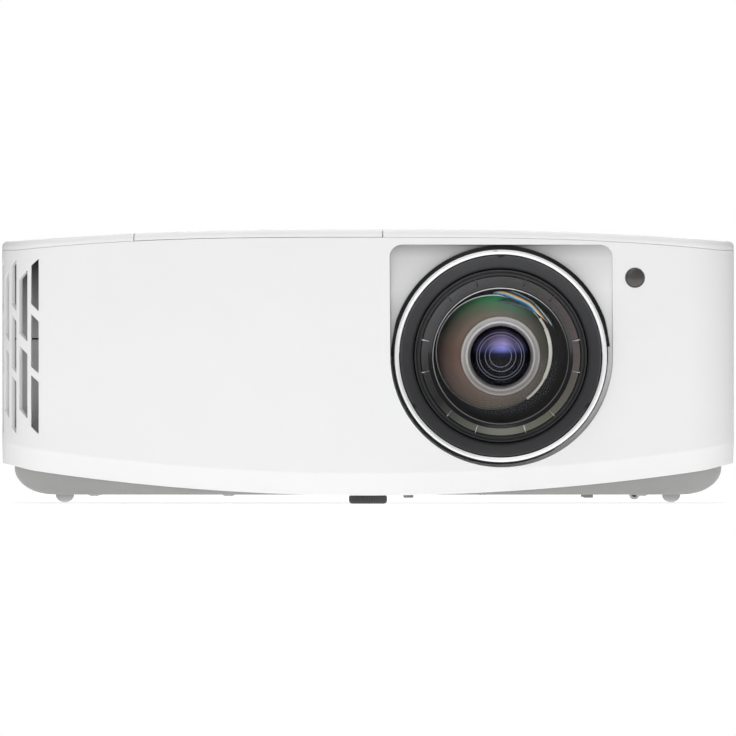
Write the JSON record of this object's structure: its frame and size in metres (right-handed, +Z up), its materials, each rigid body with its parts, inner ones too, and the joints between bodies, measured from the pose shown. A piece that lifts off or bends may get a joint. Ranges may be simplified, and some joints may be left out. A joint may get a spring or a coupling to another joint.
{
  "type": "home projector",
  "caption": "Compact home projector with a large recessed short-throw lens, wrap-around vents, a lift-off lamp cover, a top keypad and screw feet.",
  "frame": {"origin": "under the middle of the body, on the plane that the feet stand on", "axes": "+X to the right of somebody facing the lens, +Y to the rear, +Z up"},
  "size_m": [0.315, 0.27, 0.118],
  "materials": {
    "white_shell": "white moulded plastic with a very fine texture",
    "base_grey": "mid grey moulded plastic",
    "light_grey": "light grey moulded plastic",
    "black_plastic": "black plastic with a low sheen",
    "matte_black": "dull dark grey plastic",
    "chrome": "bright plated ring",
    "satin_metal": "satin metal",
    "rubber": "dark moulded rubber",
    "foot_grey": "light grey nylon",
    "lens_glass": "coated optical glass",
    "ir_window": "smoked infrared window",
    "mirror_coat": "mirror coating",
    "circuit_board": "green circuit board",
    "key_white": "white keys",
    "wheel_glass": "colour filter glass"
  },
  "bodies": {
    "chassis": {"audio_jack_block": "black_plastic", "base_tray": "base_grey", "chip_board": "circuit_board", "chrome_trim_ring": "chrome", "exhaust_fan_frame": "black_plastic", "hdmi_port_1": "satin_metal", "hdmi_port_2": "satin_metal", "heatsink": "satin_metal", "intake_fan_frame": "black_plastic", "ir_window": "ir_window", "keypad_board": "circuit_board", "lamp_ballast": "matte_black", "lamp_burner": "lens_glass", "lamp_handle": "satin_metal", "lamp_housing": "matte_black", "lamp_reflector": "mirror_coat", "lens_bezel": "white_shell", "lens_flange": "satin_metal", "lens_shroud": "black_plastic", "light_tunnel": "mirror_coat", "main_board": "circuit_board", "main_shell": "white_shell", "mains_inlet": "black_plastic", "optical_engine": "satin_metal", "power_board": "circuit_board", "power_transformer": "matte_black", "rear_glass": "lens_glass", "rear_lens_tube": "black_plastic", "rear_panel": "light_grey", "security_bar": "satin_metal", "serial_port": "satin_metal", "speaker": "black_plastic", "top_cover": "white_shell", "usb_port": "satin_metal", "wheel_motor": "satin_metal"},
    "lid": {"lamp_cover": "white_shell"},
    "lid_screw": {"lamp_cover_screw": "satin_metal"},
    "focus": {"focus_ring": "matte_black"},
    "lens_group": {"lens_barrel": "black_plastic", "lens_retaining_ring": "black_plastic", "front_glass": "lens_glass", "inner_ring": "satin_metal", "second_glass": "lens_glass"},
    "intake_rotor": {"intake_fan_rotor": "matte_black"},
    "exhaust_rotor": {"exhaust_fan_rotor": "matte_black"},
    "wheel": {"colour_wheel": "wheel_glass"},
    "key_enter": {"key_enter": "key_white"},
    "key_up": {"key_up": "key_white"},
    "key_down": {"key_down": "key_white"},
    "key_left": {"key_left": "key_white"},
    "key_right": {"key_right": "key_white"},
    "key_power": {"key_power": "key_white"},
    "key_menu": {"key_menu": "key_white"},
    "key_source": {"key_source": "key_white"},
    "front_foot_stud": {"front_foot_stud": "satin_metal"},
    "front_foot_pad": {"front_foot_pad": "rubber"},
    "rear_foot_left_stud": {"rear_foot_left_stud": "satin_metal"},
    "rear_foot_left_pad": {"rear_foot_left_pad": "foot_grey"},
    "rear_foot_right_stud": {"rear_foot_right_stud": "satin_metal"},
    "rear_foot_right_pad": {"rear_foot_right_pad": "foot_grey"}
  },
  "joints": [
    {"name": "lamp_cover_lift", "type": "slide", "parent": "chassis", "child": "lid", "axis": [0, 0, 1], "range_m": [0, 0.04]},
    {"name": "lamp_cover_screw_turn", "type": "hinge", "parent": "lid", "child": "lid_screw", "pos_m": [-0.04695, -0.016, 0.11], "axis": [0, 0, 1], "range_deg": [0, 720]},
    {"name": "focus_turn", "type": "hinge", "parent": "chassis", "child": "focus", "pos_m": [0.057, -0.12, 0.0635], "axis": [0, -1, 0], "range_deg": [-30, 30]},
    {"name": "focus_travel", "type": "slide", "parent": "chassis", "child": "lens_group", "axis": [0, -1, 0], "range_m": [-0.001, 0.001]},
    {"name": "intake_fan_spin", "type": "hinge", "parent": "chassis", "child": "intake_rotor", "pos_m": [-0.1392, -0.048, 0.06], "axis": [1, 0, 0], "continuous": true},
    {"name": "exhaust_fan_spin", "type": "hinge", "parent": "chassis", "child": "exhaust_rotor", "pos_m": [0.1392, 0.048, 0.06], "axis": [1, 0, 0], "continuous": true},
    {"name": "colour_wheel_spin", "type": "hinge", "parent": "chassis", "child": "wheel", "pos_m": [-0.028, -0.03, 0.046], "axis": [0, 1, 0], "continuous": true},
    {"name": "key_enter_press", "type": "slide", "parent": "chassis", "child": "key_enter", "axis": [0, 0, -1], "range_m": [0, 0.0006], "stiffness_N_per_m": 900, "springref_m": -0.0006},
    {"name": "key_up_press", "type": "slide", "parent": "chassis", "child": "key_up", "axis": [0, 0, -1], "range_m": [0, 0.0006], "stiffness_N_per_m": 900, "springref_m": -0.0006},
    {"name": "key_down_press", "type": "slide", "parent": "chassis", "child": "key_down", "axis": [0, 0, -1], "range_m": [0, 0.0006], "stiffness_N_per_m": 900, "springref_m": -0.0006},
    {"name": "key_left_press", "type": "slide", "parent": "chassis", "child": "key_left", "axis": [0, 0, -1], "range_m": [0, 0.0006], "stiffness_N_per_m": 900, "springref_m": -0.0006},
    {"name": "key_right_press", "type": "slide", "parent": "chassis", "child": "key_right", "axis": [0, 0, -1], "range_m": [0, 0.0006], "stiffness_N_per_m": 900, "springref_m": -0.0006},
    {"name": "key_power_press", "type": "slide", "parent": "chassis", "child": "key_power", "axis": [0, 0, -1], "range_m": [0, 0.0006], "stiffness_N_per_m": 900, "springref_m": -0.0006},
    {"name": "key_menu_press", "type": "slide", "parent": "chassis", "child": "key_menu", "axis": [0, 0, -1], "range_m": [0, 0.0006], "stiffness_N_per_m": 900, "springref_m": -0.0006},
    {"name": "key_source_press", "type": "slide", "parent": "chassis", "child": "key_source", "axis": [0, 0, -1], "range_m": [0, 0.0006], "stiffness_N_per_m": 900, "springref_m": -0.0006},
    {"name": "front_foot_extend", "type": "slide", "parent": "chassis", "child": "front_foot_stud", "axis": [0, 0, -1], "range_m": [0, 0.01]},
    {"name": "front_foot_turn", "type": "hinge", "parent": "front_foot_stud", "child": "front_foot_pad", "pos_m": [0, -0.108, 0.002], "axis": [0, 0, 1], "range_deg": [-10, 1450]},
    {"name": "rear_foot_left_extend", "type": "slide", "parent": "chassis", "child": "rear_foot_left_stud", "axis": [0, 0, -1], "range_m": [0, 0.01]},
    {"name": "rear_foot_left_turn", "type": "hinge", "parent": "rear_foot_left_stud", "child": "rear_foot_left_pad", "pos_m": [-0.1325, 0.105, 0.002], "axis": [0, 0, 1], "range_deg": [-10, 1450]},
    {"name": "rear_foot_right_extend", "type": "slide", "parent": "chassis", "child": "rear_foot_right_stud", "axis": [0, 0, -1], "range_m": [0, 0.01]},
    {"name": "rear_foot_right_turn", "type": "hinge", "parent": "rear_foot_right_stud", "child": "rear_foot_right_pad", "pos_m": [0.1325, 0.105, 0.002], "axis": [0, 0, 1], "range_deg": [-10, 1450]}
  ],
  "couplings": [
    {"joint": "focus_turn", "follows": "focus_travel", "rad_per_m": 520},
    {"joint": "front_foot_turn", "follows": "front_foot_extend", "rad_per_m": 2513.3},
    {"joint": "rear_foot_left_turn", "follows": "rear_foot_left_extend", "rad_per_m": 2513.3},
    {"joint": "rear_foot_right_turn", "follows": "rear_foot_right_extend", "rad_per_m": 2513.3}
  ]
}
